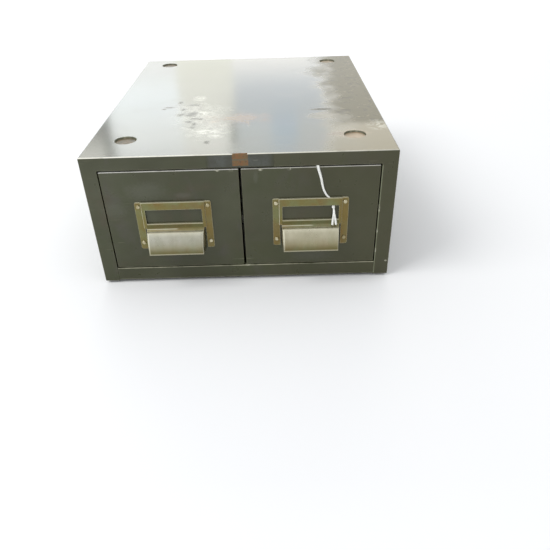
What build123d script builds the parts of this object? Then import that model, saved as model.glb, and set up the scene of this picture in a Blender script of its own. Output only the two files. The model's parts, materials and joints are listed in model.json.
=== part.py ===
from build123d import *
import math
import os

os.makedirs("parts", exist_ok=True)

# Two-drawer steel card-index cabinet for 152 x 102 mm (6 x 4 in) cards. Millimetres.
# +X is to the right, -Y is the front, +Z is up. The origin is the middle of the footprint, at the floor.

# ---- driving dimensions -------------------------------------------------------------------------
CASE_W = 365.0  # outside width
CASE_D = 457.0  # outside depth (18 in)
CASE_H = 168.5  # height of the folded case, without the feet
FOOT_DROP = 3.0  # the feet stand this far below the case
SHEET = 1.0  # case and drawer-front sheet
THIN_SHEET = 0.8  # tray and runner sheet
TOP_BEND = 2.0  # outside bend radius along the top's sides
FRONT_BEND = 1.2  # outside bend radius round the front
STILE_W = 18.4
TOP_RAIL_H = 16.5
RAIL_LIFT = 2.0  # the bottom rail stands this far above the case's lower edge
BOTTOM_RAIL_H = 17.2
RAIL_SEAM = 0.4  # visible joint between rail and stile

DRAWER_W = 161.3  # drawer front
DRAWER_H = 129.8
DRAWER_X = 82.15  # drawer centre, each side of the middle
DRAWER_BOTTOM = 23.2
DRAWER_RECESS = 0.5  # the fronts sit this far behind the case's front
PAN_DEPTH = 13.0  # depth of the folded drawer front
DRAWER_TRAVEL = 340.0

TRAY_W = 157.0  # outside width of the tray
TRAY_BOTTOM = 26.0
TRAY_SIDE_TOP = 118.0
TRAY_BACK_TOP = 146.0
TRAY_END = 440.0  # tray's rear face, behind the case's front

PULL_W = 91.0  # label holder with its cup pull, one pressing
PULL_H = 63.6
PULL_Z = 82.8  # height of its middle
PULL_T = 0.9
PULL_RAISE = 1.6  # card pocket behind the raised frame
CUP_W = 70.5  # width of the cup where it meets the drawer
CUP_FRONT_W = 66.5  # width of the cup at its front, because its ends lean in
CUP_REACH = 17.5  # how far the cup stands off the drawer front

# ---- worked-out levels and places ---------------------------------------------------------------
CASE_FRONT = (CUP_REACH - DRAWER_RECESS - CASE_D) / 2
CASE_BACK = CASE_FRONT + CASE_D
CASE_BOTTOM = FOOT_DROP
CASE_TOP = CASE_BOTTOM + CASE_H
INNER_W = CASE_W - 2 * SHEET
OPENING_W = CASE_W - 2 * STILE_W
OPENING_TOP = CASE_TOP - TOP_RAIL_H
BASE_TOP = CASE_BOTTOM + 2 * SHEET
RAIL_BOTTOM = CASE_BOTTOM + RAIL_LIFT
RAIL_TOP = RAIL_BOTTOM + BOTTOM_RAIL_H
FACE_Y = CASE_FRONT + DRAWER_RECESS
DRAWER_TOP = DRAWER_BOTTOM + DRAWER_H
TRAY_FRONT = FACE_Y + PAN_DEPTH
TRAY_BACK = CASE_FRONT + TRAY_END
TRAY_FLOOR = TRAY_BOTTOM + THIN_SHEET
SIDES = {"left": -1, "right": 1}


def upright(y):
    """Plane across the cabinet at y: its x is +X, its y is +Z, and it faces forward (-Y)."""
    return Plane(origin=(0, y, 0), x_dir=(1, 0, 0), z_dir=(0, -1, 0))


def sideways(x):
    """Plane along the cabinet at x: its x is +Y, its y is +Z, and it faces +X."""
    return Plane(origin=(x, 0, 0), x_dir=(0, 1, 0), z_dir=(1, 0, 0))


def slab(x, y, z, mode=Mode.ADD):
    """A block that spans the (low, high) pairs x, y and z."""
    with Locations((sum(x) / 2, sum(y) / 2, sum(z) / 2)):
        Box(x[1] - x[0], y[1] - y[0], z[1] - z[0], mode=mode)


def around(middle, width):
    """The (low, high) pair of this width about a middle."""
    return (middle - width / 2, middle + width / 2)


def keep(piece, name):
    """Label a finished piece and write it as its own file."""
    piece.part.label = name
    export_step(piece.part, f"parts/{name}.step")


# ---- case wrap: top, sides, stiles and top rail, folded from one sheet --------------------------
RETURN_DEPTH = 10.0  # the stiles and top rail turn back into the case round the opening
RETURN_BEND = 0.7
SIDE_FLANGE = 15.0  # turned in under the sides
BACK_FLANGE = 13.0  # turned in round the back
DIMPLE_R = 13.2  # stacking recesses in the top
DIMPLE_DEPTH = 2.0
DIMPLE_RIM = 0.8  # rounded edge
DIMPLE_X = 138.5
DIMPLE_FRONT = 53.0  # behind the case's front
DIMPLE_BACK = 35.0  # in front of the case's back
DIMPLE_SPOTS = [
    (side * DIMPLE_X, y)
    for side in (-1, 1)
    for y in (CASE_FRONT + DIMPLE_FRONT, CASE_BACK - DIMPLE_BACK)
]

with BuildPart() as case_wrap:
    with BuildSketch(upright(CASE_BACK)):
        with Locations((0, CASE_BOTTOM)):
            Rectangle(CASE_W, CASE_H, align=(Align.CENTER, Align.MIN))
    extrude(amount=CASE_D)
    fillet(case_wrap.edges().filter_by(Axis.Y).group_by(Axis.Z)[-1], TOP_BEND)
    fillet(case_wrap.edges().filter_by(Axis.Y).group_by(Axis.Z)[0], FRONT_BEND)
    front_edges = case_wrap.faces().sort_by(Axis.Y)[0].edges()
    fillet(front_edges.sort_by(Axis.Z)[3:], FRONT_BEND)
    # hollow inside
    with BuildSketch(upright(CASE_BACK - SHEET)):
        with Locations((0, CASE_BOTTOM + SHEET)):
            Rectangle(INNER_W, CASE_H - 2 * SHEET, align=(Align.CENTER, Align.MIN))
    extrude(amount=CASE_D - 2 * SHEET, mode=Mode.SUBTRACT)
    # drawer opening between the stiles, open downwards
    with BuildSketch(upright(CASE_FRONT + 2 * SHEET)):
        with Locations((0, OPENING_TOP)):
            Rectangle(OPENING_W, CASE_H, align=(Align.CENTER, Align.MAX))
    extrude(amount=3 * SHEET, mode=Mode.SUBTRACT)
    # the edges of the opening turn back into the case
    slab(
        around(0, OPENING_W + 2 * SHEET),
        (CASE_FRONT, CASE_FRONT + RETURN_DEPTH),
        (OPENING_TOP, OPENING_TOP + SHEET),
    )
    for side in (-1, 1):
        slab(
            around(side * (OPENING_W + SHEET) / 2, SHEET),
            (CASE_FRONT, CASE_FRONT + RETURN_DEPTH),
            (RAIL_TOP + RAIL_SEAM, OPENING_TOP + SHEET),
        )
    opening_edges = case_wrap.faces().sort_by(Axis.Y)[0].edges().filter_by_position(
        Axis.X, -OPENING_W / 2 - 0.01, OPENING_W / 2 + 0.01
    )
    fillet(opening_edges.filter_by_position(Axis.Z, RAIL_TOP, OPENING_TOP + 0.01), RETURN_BEND)
    # back opening inside its flange
    with BuildSketch(upright(CASE_BACK + SHEET)):
        with Locations((0, CASE_TOP - BACK_FLANGE)):
            Rectangle(CASE_W - 2 * BACK_FLANGE, CASE_H, align=(Align.CENTER, Align.MAX))
    extrude(amount=3 * SHEET, mode=Mode.SUBTRACT)
    # open underside between the side flanges
    with BuildSketch(Plane.XY.offset(CASE_BOTTOM - SHEET)):
        with Locations((0, (CASE_FRONT + CASE_BACK) / 2)):
            Rectangle(CASE_W - 2 * SIDE_FLANGE, CASE_D - 2 * SHEET)
    extrude(amount=3 * SHEET, mode=Mode.SUBTRACT)
    # pressed cups for the feet of a cabinet stacked on this one
    for x, y in DIMPLE_SPOTS:
        with Locations((x, y, CASE_TOP - SHEET)):
            Cylinder(DIMPLE_R + 0.3, DIMPLE_DEPTH, align=(Align.CENTER, Align.CENTER, Align.MAX))
        with Locations((x, y, CASE_TOP)):
            Cone(
                DIMPLE_R - 0.8,
                DIMPLE_R,
                DIMPLE_DEPTH,
                align=(Align.CENTER, Align.CENTER, Align.MAX),
                mode=Mode.SUBTRACT,
            )
    fillet(case_wrap.edges().filter_by(GeomType.CIRCLE).group_by(Axis.Z)[-1], DIMPLE_RIM)
keep(case_wrap, "case_wrap")

# ---- panels that close the case -----------------------------------------------------------------
FIT_GAP = 0.2  # gap round a panel that is welded in

with BuildPart() as back_panel:
    slab(
        around(0, INNER_W - 2 * FIT_GAP),
        (CASE_BACK - 2 * SHEET, CASE_BACK - SHEET),
        (BASE_TOP + FIT_GAP, CASE_TOP - SHEET - FIT_GAP),
    )
keep(back_panel, "back_panel")

FOOT_R = 11.0
FOOT_RIVET_R = 2.0
FOOT_SPOTS = DIMPLE_SPOTS  # each foot stands under a recess, so cabinets stack

with BuildPart() as base_panel:
    slab(
        around(0, INNER_W - 2 * FIT_GAP),
        (CASE_FRONT + SHEET + FIT_GAP, CASE_BACK - SHEET - FIT_GAP),
        (CASE_BOTTOM + SHEET, BASE_TOP),
    )
    with Locations(*[(x, y, BASE_TOP) for x, y in FOOT_SPOTS]):
        Hole(FOOT_RIVET_R + 0.05)
keep(base_panel, "base_panel")

# ---- bottom rail between the stiles -------------------------------------------------------------
RAIL_DEPTH = 14.0
RAIL_TAB = 12.0  # weld tab behind each stile
RAIL_BEND = 1.4
RAIL_W = OPENING_W - 2 * RAIL_SEAM

with BuildPart() as bottom_rail:
    slab(around(0, RAIL_W), (CASE_FRONT, CASE_FRONT + RAIL_DEPTH), (RAIL_BOTTOM, RAIL_TOP))
    fillet(bottom_rail.faces().sort_by(Axis.Y)[0].edges().filter_by(Axis.X), RAIL_BEND)
    slab(
        around(0, RAIL_W + 2 * SHEET),
        (CASE_FRONT + SHEET, CASE_FRONT + RAIL_DEPTH + SHEET),
        (RAIL_BOTTOM + SHEET, RAIL_TOP - SHEET),
        mode=Mode.SUBTRACT,
    )
    for side in (-1, 1):
        slab(
            around(side * OPENING_W / 2, 2 * RAIL_TAB),
            (CASE_FRONT + SHEET, CASE_FRONT + 2 * SHEET),
            (RAIL_BOTTOM + 2 * SHEET, RAIL_TOP - 2 * SHEET),
        )
keep(bottom_rail, "bottom_rail")

# ---- centre partition ---------------------------------------------------------------------------
PARTITION_FRONT = CASE_FRONT + 16.0
PARTITION_FOOT = 11.0  # width of its top and bottom flanges

with BuildPart() as centre_partition:
    with BuildSketch(upright(CASE_BACK - 2 * SHEET - FIT_GAP)):
        with Locations((0, BASE_TOP)):
            Rectangle(SHEET, CASE_TOP - SHEET - FIT_GAP - BASE_TOP, align=(Align.CENTER, Align.MIN))
        for z, edge in ((BASE_TOP, Align.MIN), (CASE_TOP - SHEET - FIT_GAP, Align.MAX)):
            with Locations((-SHEET / 2, z)):
                Rectangle(PARTITION_FOOT, SHEET, align=(Align.MIN, edge))
    extrude(amount=CASE_BACK - 2 * SHEET - FIT_GAP - PARTITION_FRONT)
keep(centre_partition, "centre_partition")

# ---- runners: channels that guide a flat strip on each side of each tray ------------------------
STRIP_T = 1.6
STRIP_H = 8.0
STRIP_Z = 80.0
RUNNER_PLAY = 0.2  # above and below the strip
RUNNER_SIDE_PLAY = 0.75
RUNNER_LIP_GAP = 0.45  # runner's open edge to the tray
RUNNER_FRONT = CASE_FRONT + 16.0
RUNNER_END = CASE_FRONT + 445.0
RUNNER_WEB = TRAY_W / 2 + STRIP_T + RUNNER_SIDE_PLAY + THIN_SHEET  # tray centre to the web's back
RUNNER_H = STRIP_H + 2 * RUNNER_PLAY + 2 * THIN_SHEET


def make_runner(name, tray_x, hand):
    """A channel open towards the tray, on its +X side (hand 1) or its -X side (hand -1)."""
    lip = tray_x + hand * (TRAY_W / 2 + RUNNER_LIP_GAP)
    web = tray_x + hand * RUNNER_WEB
    with BuildPart() as runner:
        slab(
            (min(lip, web), max(lip, web)),
            (RUNNER_FRONT, RUNNER_END),
            around(STRIP_Z, RUNNER_H),
        )
        slab(
            around(web - hand * (THIN_SHEET + 5), 10),
            (RUNNER_FRONT - 1, RUNNER_END + 1),
            around(STRIP_Z, RUNNER_H - 2 * THIN_SHEET),
            mode=Mode.SUBTRACT,
        )
    keep(runner, name)


for label, side in SIDES.items():
    make_runner(f"{label}_outer_runner", side * DRAWER_X, side)
    make_runner(f"{label}_inner_runner", side * DRAWER_X, -side)

# ---- hat brackets that hold the outer runners off the case sides --------------------------------
BRACKET_H = 26.0
BRACKET_CROWN = 24.0
BRACKET_FOOT = 10.0
BRACKET_FRONT = CASE_FRONT + 60.0
BRACKET_REAR = CASE_BACK - 60.0
BRACKET_SPAN = INNER_W / 2 - (DRAWER_X + RUNNER_WEB)  # case side to runner

for label, side in SIDES.items():
    crown_x = side * (DRAWER_X + RUNNER_WEB)
    wall_x = side * INNER_W / 2
    with BuildPart() as brackets:
        for y in (BRACKET_FRONT, BRACKET_REAR):
            slab(
                around((crown_x + wall_x) / 2, BRACKET_SPAN),
                around(y, BRACKET_CROWN),
                around(STRIP_Z, BRACKET_H),
            )
            slab(
                around((crown_x + wall_x) / 2 + side * SHEET, BRACKET_SPAN),
                around(y, BRACKET_CROWN - 2 * SHEET),
                around(STRIP_Z, BRACKET_H + 2),
                mode=Mode.SUBTRACT,
            )
            for end in (-1, 1):
                slab(
                    around(wall_x - side * SHEET / 2, SHEET),
                    around(y + end * (BRACKET_CROWN / 2 + BRACKET_FOOT / 2 - SHEET / 2), BRACKET_FOOT + SHEET),
                    around(STRIP_Z, BRACKET_H),
                )
    keep(brackets, f"{label}_runner_brackets")

# ---- stop angles under the top: the raised tray back meets one at full travel -------------------
STOP_W = 120.0
STOP_FOOT = 15.0
STOP_DROP_Z = 142.0
STOP_LEAF_REAR = TRAY_BACK - SHEET - DRAWER_TRAVEL - 0.3

for label, side in SIDES.items():
    with BuildPart() as stop_angle:
        slab(
            around(side * DRAWER_X, STOP_W),
            (STOP_LEAF_REAR - SHEET, STOP_LEAF_REAR),
            (STOP_DROP_Z, CASE_TOP - SHEET),
        )
        slab(
            around(side * DRAWER_X, STOP_W),
            (STOP_LEAF_REAR - STOP_FOOT, STOP_LEAF_REAR),
            (CASE_TOP - 2 * SHEET, CASE_TOP - SHEET),
        )
    keep(stop_angle, f"{label}_stop_angle")

# ---- rubber bumpers that stop the closed drawers ------------------------------------------------
BUMPER_R = 6.0
BUMPER_Z = 60.0
BUMPER_SPREAD = 50.0
BUMPER_GAP = 0.3

with BuildPart() as rear_bumpers:
    with BuildSketch(upright(CASE_BACK - 2 * SHEET)):
        with Locations(
            *[
                (side * DRAWER_X + end * BUMPER_SPREAD, BUMPER_Z)
                for side in (-1, 1)
                for end in (-1, 1)
            ]
        ):
            Circle(BUMPER_R)
    extrude(amount=CASE_BACK - 2 * SHEET - TRAY_BACK - BUMPER_GAP)
    fillet(rear_bumpers.faces().sort_by(Axis.Y)[:4].edges(), 1.5)
keep(rear_bumpers, "rear_bumpers")

# ---- feet ---------------------------------------------------------------------------------------
FOOT_H = CASE_BOTTOM + SHEET
FOOT_POCKET_R = 5.0
FOOT_POCKET_DEPTH = 1.8
FOOT_NAMES = ("foot_front_left", "foot_rear_left", "foot_front_right", "foot_rear_right")

for name, (x, y) in zip(FOOT_NAMES, FOOT_SPOTS):
    with BuildPart() as foot:
        with BuildSketch():
            with Locations((x, y)):
                Circle(FOOT_R)
        extrude(amount=FOOT_H)
        fillet(foot.edges().filter_by(GeomType.CIRCLE).sort_by(Axis.Z)[0], 0.8)
        with Locations((x, y, 0)):
            Cylinder(
                FOOT_POCKET_R,
                2 * FOOT_POCKET_DEPTH,
                mode=Mode.SUBTRACT,
            )
            Cylinder(FOOT_RIVET_R + 0.05, 4 * FOOT_H, mode=Mode.SUBTRACT)
    keep(foot, name)

with BuildPart() as foot_rivets:
    for x, y in FOOT_SPOTS:
        with Locations((x, y, FOOT_POCKET_DEPTH)):
            Cylinder(FOOT_POCKET_R - 1, 1.2, align=(Align.CENTER, Align.CENTER, Align.MAX))
            Cylinder(
                FOOT_RIVET_R,
                BASE_TOP - FOOT_POCKET_DEPTH,
                align=(Align.CENTER, Align.CENTER, Align.MIN),
            )
        with Locations((x, y, BASE_TOP)):
            Cylinder(FOOT_RIVET_R + 1.2, 1.0, align=(Align.CENTER, Align.CENTER, Align.MIN))
keep(foot_rivets, "foot_rivets")

# ---- plain foil label on the top rail -----------------------------------------------------------
FOIL_T = 0.15
FOIL_X = (-38.0, 40.5)
FOIL_Z = (OPENING_TOP + 0.4, CASE_TOP - FRONT_BEND - 0.2)

with BuildPart() as rail_foil:
    slab(FOIL_X, (CASE_FRONT - FOIL_T, CASE_FRONT), FOIL_Z)
keep(rail_foil, "rail_foil")

# ---- drawer fronts, liners, trays, backs and slide strips ---------------------------------------
RIVET_R = 1.5
RIVET_HEAD_R = 2.6
RIVET_HEAD_H = 1.3
RIVET_SPREAD_X = 82.7
RIVET_SPREAD_Z = 48.6
RIVET_Z = 84.2  # middle of the four rivets
LINER_FLANGE = 8.0
GUSSET_REACH = 55.0  # tray sides slope up to the front over this length
HEM_H = 6.0
BACK_TAB = 10.0
STRIP_FRONT = CASE_FRONT + 18.0
STRIP_END = CASE_FRONT + 428.0


def rivet_spots(x):
    """The four rivet places round a pull centred at x, on an upright plane."""
    return [
        (x + i * RIVET_SPREAD_X / 2, RIVET_Z + j * RIVET_SPREAD_Z / 2)
        for i in (-1, 1)
        for j in (-1, 1)
    ]


def make_drawer_front(label, x):
    with BuildPart() as front:
        slab(around(x, DRAWER_W), (FACE_Y, TRAY_FRONT), (DRAWER_BOTTOM, DRAWER_TOP))
        fillet(front.edges().filter_by(Axis.Y), 1.0)
        fillet(front.faces().sort_by(Axis.Y)[0].edges(), 0.9)
        slab(
            around(x, DRAWER_W - 2 * SHEET),
            (FACE_Y + SHEET, TRAY_FRONT + SHEET),
            (DRAWER_BOTTOM + SHEET, DRAWER_TOP - SHEET),
            mode=Mode.SUBTRACT,
        )
        with BuildSketch(upright(FACE_Y + 2 * SHEET)):
            with Locations(*rivet_spots(x)):
                Circle(RIVET_R + 0.05)
        extrude(amount=3 * SHEET, mode=Mode.SUBTRACT)
    keep(front, f"{label}_drawer_front")


def make_liner(label, x):
    """Inner skin of the drawer front, a shallow pan set into the front's flanges."""
    width = DRAWER_W - 2 * SHEET - 0.2
    low = DRAWER_BOTTOM + SHEET + 0.1
    high = DRAWER_TOP - SHEET - 0.1
    with BuildPart() as liner:
        slab(around(x, width), (TRAY_FRONT - LINER_FLANGE, TRAY_FRONT), (low, high))
        slab(
            around(x, width - 2 * THIN_SHEET),
            (TRAY_FRONT - LINER_FLANGE - SHEET, TRAY_FRONT - THIN_SHEET),
            (low + THIN_SHEET, high - THIN_SHEET),
            mode=Mode.SUBTRACT,
        )
    keep(liner, f"{label}_drawer_liner")


def make_tray(label, x):
    """Floor and sides folded from one sheet; the sides slope up to the drawer front."""
    with BuildPart() as tray:
        with BuildSketch(sideways(x - TRAY_W / 2)):
            with BuildLine():
                Polyline(
                    (TRAY_FRONT, TRAY_BOTTOM),
                    (TRAY_BACK, TRAY_BOTTOM),
                    (TRAY_BACK, TRAY_SIDE_TOP),
                    (TRAY_FRONT + GUSSET_REACH, TRAY_SIDE_TOP),
                    (TRAY_FRONT + 8, TRAY_BACK_TOP),
                    (TRAY_FRONT, TRAY_BACK_TOP),
                    close=True,
                )
            make_face()
        extrude(amount=TRAY_W)
        slab(
            around(x, TRAY_W - 2 * THIN_SHEET),
            (TRAY_FRONT - 1, TRAY_BACK + 1),
            (TRAY_FLOOR, TRAY_BACK_TOP + 1),
            mode=Mode.SUBTRACT,
        )
        fillet(tray.edges().filter_by(Axis.Y).group_by(Axis.Z)[0], 1.2)
        # hemmed top edges
        for side in (-1, 1):
            slab(
                around(x + side * (TRAY_W / 2 - 1.5 * THIN_SHEET), THIN_SHEET),
                (TRAY_FRONT + GUSSET_REACH, TRAY_BACK - BACK_TAB - 2),
                (TRAY_SIDE_TOP - HEM_H, TRAY_SIDE_TOP),
            )
    keep(tray, f"{label}_tray")


def make_tray_back(label, x):
    width = TRAY_W - 2 * THIN_SHEET - 0.2
    with BuildPart() as back:
        slab(around(x, width), (TRAY_BACK - SHEET, TRAY_BACK), (TRAY_FLOOR, TRAY_BACK_TOP))
        for side in (-1, 1):
            slab(
                around(x + side * (width - SHEET) / 2, SHEET),
                (TRAY_BACK - BACK_TAB, TRAY_BACK),
                (TRAY_FLOOR, TRAY_SIDE_TOP),
            )
        fillet(back.edges().filter_by(Axis.Y).group_by(Axis.Z)[-1], 8.0)
    keep(back, f"{label}_tray_back")


def make_strip(name, x, hand):
    with BuildPart() as strip:
        slab(
            around(x + hand * (TRAY_W + STRIP_T) / 2, STRIP_T),
            (STRIP_FRONT, STRIP_END),
            around(STRIP_Z, STRIP_H),
        )
        fillet(strip.edges().filter_by(Axis.X), 2.0)
    keep(strip, name)


# ---- label holder and cup pull ------------------------------------------------------------------
WINDOW_W = 67.8
WINDOW_Z = (86.0, 104.6)
FRAME_HALF = 37.9  # half width of the raised frame
FRAME_BOTTOM = 80.0
JOG_R = 0.8  # bend where the frame rises from the legs
ROOT_Z = 81.8  # the frame's front starts to curl out into the cup here
ROOT_R = 5.5
LEDGE = 1.0  # short flat on top of the cup
CUP_BOTTOM = 50.8
CUP_EDGE_R = 1.6  # rounded edges of the cup's outside
BEAD_R = 0.8


def out(p):
    """The y of a point that stands p in front of the drawer's face."""
    return FACE_Y - p


def cup_section(x):
    """The cup's outside seen from the side, as a sketch on the plane at x."""
    front = PULL_RAISE + PULL_T
    ledge_z = ROOT_Z - ROOT_R
    brow = front + ROOT_R + LEDGE
    rise = CUP_REACH - brow
    drop = ledge_z - CUP_BOTTOM
    with BuildSketch(sideways(x)) as section:
        with BuildLine():
            back = Polyline(
                (out(CUP_REACH), CUP_BOTTOM),
                (out(0), CUP_BOTTOM),
                (out(0), ROOT_Z),
                (out(front), ROOT_Z),
            )
            root = RadiusArc(back @ 1, (out(front + ROOT_R), ledge_z), ROOT_R)
            ledge = Line(root @ 1, (out(brow), ledge_z))
            RadiusArc(ledge @ 1, back @ 0, -(rise**2 + drop**2) / (2 * rise))
        make_face()
    return section.sketch


def cup_solid(x, inset):
    """The cup's solid shape, drawn in by inset; its ends lean in towards the front."""
    half_back = CUP_W / 2 - inset
    half_front = CUP_FRONT_W / 2 - inset
    with BuildPart() as cup:
        section = cup_section(x - half_back)
        if inset:
            section = offset(section, amount=-inset, mode=Mode.PRIVATE)
        extrude(section, amount=2 * half_back)
        with BuildSketch(Plane.XY.offset(CUP_BOTTOM - 1)):
            for side in (-1, 1):
                with BuildLine():
                    Polyline(
                        (x + side * half_back, out(0)),
                        (x + side * half_front, out(CUP_REACH)),
                        (x + side * (half_back + 1), out(CUP_REACH)),
                        (x + side * (half_back + 1), out(0)),
                        close=True,
                    )
                make_face()
        extrude(amount=CUP_W, mode=Mode.SUBTRACT)
        if not inset:
            face = cup.faces().filter_by(GeomType.CYLINDER).sort_by(SortBy.AREA)[-1]
            ends = face.edges().filter_by_position(Axis.Z, CUP_BOTTOM + 1, ROOT_Z - ROOT_R - 1)
            fillet(ends, CUP_EDGE_R)
    return cup.part


def make_pull(label, x):
    """Label holder and cup pull, one brass pressing: side legs, raised window frame and cup."""
    top = PULL_Z + PULL_H / 2
    with BuildPart() as pull:
        # legs that lie on the drawer front
        with BuildSketch(upright(FACE_Y)):
            with Locations((x, PULL_Z)):
                RectangleRounded(PULL_W, PULL_H, 2.5)
                Rectangle(2 * (FRAME_HALF - PULL_T), PULL_H + 2, mode=Mode.SUBTRACT)
            with Locations(*rivet_spots(x)):
                Circle(RIVET_R + 0.05, mode=Mode.SUBTRACT)
        extrude(amount=PULL_T)
        # raised frame round the window, with a card pocket behind it that is open at the top
        with BuildSketch(upright(out(PULL_RAISE))):
            with Locations((x, top)):
                Rectangle(2 * FRAME_HALF, top - FRAME_BOTTOM, align=(Align.CENTER, Align.MAX))
            with Locations((x, sum(WINDOW_Z) / 2)):
                RectangleRounded(WINDOW_W, WINDOW_Z[1] - WINDOW_Z[0], 0.8, mode=Mode.SUBTRACT)
        extrude(amount=PULL_T)
        for side in (-1, 1):
            slab(
                around(x + side * (FRAME_HALF - PULL_T / 2), PULL_T),
                (out(PULL_RAISE), FACE_Y),
                (FRAME_BOTTOM, top),
            )
        front_edges = pull.edges().filter_by(Axis.Z).filter_by_position(
            Axis.Y, out(PULL_RAISE + PULL_T) - 0.01, out(PULL_RAISE + PULL_T) + 0.01
        )
        jogs = front_edges.sort_by(Axis.X)
        fillet([jogs[0], jogs[-1]], JOG_R)
        # cup with closed ends, open below and behind
        add(cup_solid(x, 0))
        add(cup_solid(x, PULL_T), mode=Mode.SUBTRACT)
        slab(
            around(x, CUP_FRONT_W - 2 * PULL_T),
            (out(CUP_REACH - PULL_T), FACE_Y + 1),
            (CUP_BOTTOM - 2, CUP_BOTTOM + 2 * PULL_T),
            mode=Mode.SUBTRACT,
        )
        slab(
            around(x, CUP_W - 2 * PULL_T),
            (out(PULL_RAISE), FACE_Y + 1),
            (CUP_BOTTOM - 2, WINDOW_Z[0] - PULL_T),
            mode=Mode.SUBTRACT,
        )
        # ledge that the card stands on, folded back to the drawer's face
        slab(
            around(x, 2 * (FRAME_HALF - PULL_T)),
            (out(PULL_RAISE), FACE_Y),
            (WINDOW_Z[0] - PULL_T, WINDOW_Z[0]),
        )
        # rolled lower lip
        with Locations((x, out(CUP_REACH - BEAD_R), CUP_BOTTOM)):
            Cylinder(BEAD_R, CUP_FRONT_W, rotation=(0, 90, 0))
    keep(pull, f"{label}_label_pull")


def make_pull_rivets(label, x):
    with BuildPart() as rivets:
        with BuildSketch(upright(out(PULL_T))):
            with Locations(*rivet_spots(x)):
                Circle(RIVET_HEAD_R)
        extrude(amount=RIVET_HEAD_H)
        fillet(rivets.faces().sort_by(Axis.Y)[:4].edges(), RIVET_HEAD_H - 0.1)
        with BuildSketch(upright(FACE_Y + SHEET + 0.8)):
            with Locations(*rivet_spots(x)):
                Circle(RIVET_HEAD_R - 0.3)
        extrude(amount=0.8)
        with BuildSketch(upright(FACE_Y + SHEET)):
            with Locations(*rivet_spots(x)):
                Circle(RIVET_R)
        extrude(amount=SHEET + PULL_T)
    keep(rivets, f"{label}_pull_rivets")


# ---- card follower: a leaning plate on a shoe that slides along a T-shaped track ----------------
TRACK_NECK_W = 14.0
TRACK_NECK_H = 2.5
TRACK_HEAD_W = 22.0
TRACK_HEAD_T = 1.5
TRACK_FRONT = CASE_FRONT + 20.0
TRACK_END = CASE_FRONT + 430.0
TRACK_TOP = TRAY_FLOOR + TRACK_NECK_H + TRACK_HEAD_T
SHOE_PLAY = 0.3
SHOE_T = 1.5
SHOE_L = 62.0
SHOE_TOP = TRACK_TOP + SHOE_PLAY + SHOE_T
FOLLOWER_Y = CASE_FRONT + 330.0  # front of the follower's foot at rest
PLATE_W = 150.0
PLATE_TOP = 124.0
PLATE_T = 1.2
PLATE_LEAN = math.tan(math.radians(10))
FOOT_FLANGE = 26.0
PIVOT_Y = FOLLOWER_Y + 42.0
PIVOT_Z = SHOE_TOP + 8.4
PIN_R = 2.0
PIN_PLAY = 0.05
LEVER_W = 8.0
EAR_GAP = 1.0  # lever's side to each ear
EAR_T = 1.5
CAM_REACH = 9.0
CAM_R = 2.5
THUMB_REACH = 22.0
THUMB_RISE = 7.0


def make_track(label, x):
    with BuildPart() as track:
        slab(
            around(x, TRACK_NECK_W),
            (TRACK_FRONT, TRACK_END),
            (TRAY_FLOOR, TRAY_FLOOR + TRACK_NECK_H),
        )
        slab(
            around(x, TRACK_HEAD_W),
            (TRACK_FRONT, TRACK_END),
            (TRACK_TOP - TRACK_HEAD_T, TRACK_TOP),
        )
    keep(track, f"{label}_follower_track")


def make_shoe(label, x):
    """Channel that wraps the track's head, with two ears for the catch."""
    inner = TRACK_HEAD_W + 2 * SHOE_PLAY
    lip_low = TRACK_TOP - TRACK_HEAD_T - SHOE_PLAY - SHOE_T
    lip_high = TRACK_TOP - TRACK_HEAD_T - SHOE_PLAY
    with BuildPart() as shoe:
        slab(
            around(x, inner + 2 * SHOE_T),
            (FOLLOWER_Y, FOLLOWER_Y + SHOE_L),
            (lip_low, SHOE_TOP),
        )
        slab(
            around(x, inner),
            (FOLLOWER_Y - 1, FOLLOWER_Y + SHOE_L + 1),
            (lip_high, TRACK_TOP + SHOE_PLAY),
            mode=Mode.SUBTRACT,
        )
        slab(
            around(x, TRACK_NECK_W + 2 * (SHOE_PLAY + 0.2)),
            (FOLLOWER_Y - 1, FOLLOWER_Y + SHOE_L + 1),
            (lip_low - 1, lip_high + 1),
            mode=Mode.SUBTRACT,
        )
        slab(
            around(x, LEVER_W + 2 * EAR_GAP),
            (PIVOT_Y - CAM_REACH - CAM_R - 2, PIVOT_Y - 2),
            (TRACK_TOP, SHOE_TOP + 1),
            mode=Mode.SUBTRACT,
        )
        for side in (-1, 1):
            ear_x = x + side * (LEVER_W / 2 + EAR_GAP + EAR_T / 2)
            with BuildSketch(sideways(ear_x - EAR_T / 2)):
                with Locations((PIVOT_Y, PIVOT_Z)):
                    Circle(5.5)
                with Locations((PIVOT_Y, SHOE_TOP)):
                    Rectangle(11.0, PIVOT_Z - SHOE_TOP, align=(Align.CENTER, Align.MIN))
                with Locations((PIVOT_Y, PIVOT_Z)):
                    Circle(PIN_R + 0.02, mode=Mode.SUBTRACT)
            extrude(amount=EAR_T)
    keep(shoe, f"{label}_follower_shoe")


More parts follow.
